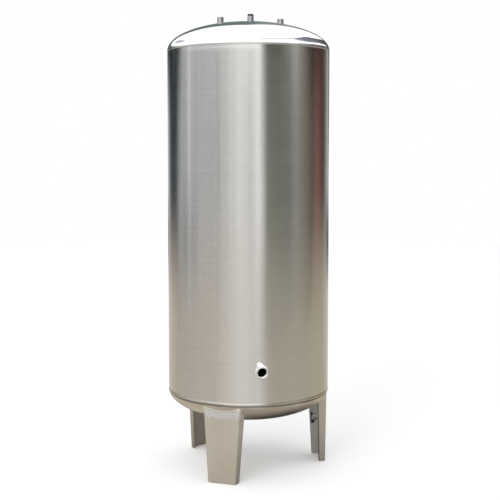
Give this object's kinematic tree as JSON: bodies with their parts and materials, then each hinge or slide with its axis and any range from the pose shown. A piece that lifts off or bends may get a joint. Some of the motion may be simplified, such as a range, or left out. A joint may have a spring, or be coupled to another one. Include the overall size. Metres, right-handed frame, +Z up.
{
  "type": "pressure tank",
  "caption": "Upright stainless steel pressure tank with dished ends, folded plate legs, pipe sockets on the crown and a larger side socket near the bottom.",
  "frame": {"origin": "on the tank's axis at floor level, below the middle of the bounding box", "axes": "+Z up along the tank's axis; the side socket points along -Y and the top sockets stand in a row along X"},
  "size_m": [0.803, 0.8135, 2.2442],
  "materials": {
    "brushed_shell": "brushed round the tank with fine hairlines, satin",
    "polished_head": "polished to a mirror on the top end, satin on the bottom end",
    "weld_bead": "ground and wire brushed weld, faint heat tint at its edges",
    "leg_plate": "matt folded plate, as rolled, with weld marks at the top",
    "socket_steel": "turned socket, satin, threaded inside",
    "cap_plastic": "moulded black cap"
  },
  "bodies": {
    "root": {"shell": "brushed_shell", "shell_long_weld": "weld_bead", "top_head": "polished_head", "bottom_head": "polished_head", "top_girth_weld": "weld_bead", "bottom_girth_weld": "weld_bead", "side_port": "socket_steel", "side_port_weld": "weld_bead", "top_nozzle_left": "socket_steel", "top_nozzle_centre": "socket_steel", "top_nozzle_right": "socket_steel", "top_nozzle_left_weld": "weld_bead", "top_nozzle_centre_weld": "weld_bead", "top_nozzle_right_weld": "weld_bead", "top_nozzle_cap": "cap_plastic", "leg_front": "leg_plate", "leg_right": "leg_plate", "leg_back": "leg_plate", "leg_front_web_weld": "weld_bead", "leg_front_right_flange_weld": "weld_bead", "leg_front_left_flange_weld": "weld_bead", "leg_right_web_weld": "weld_bead", "leg_right_right_flange_weld": "weld_bead", "leg_right_left_flange_weld": "weld_bead", "leg_back_web_weld": "weld_bead", "leg_back_right_flange_weld": "weld_bead", "leg_back_left_flange_weld": "weld_bead"}
  },
  "joints": []
}
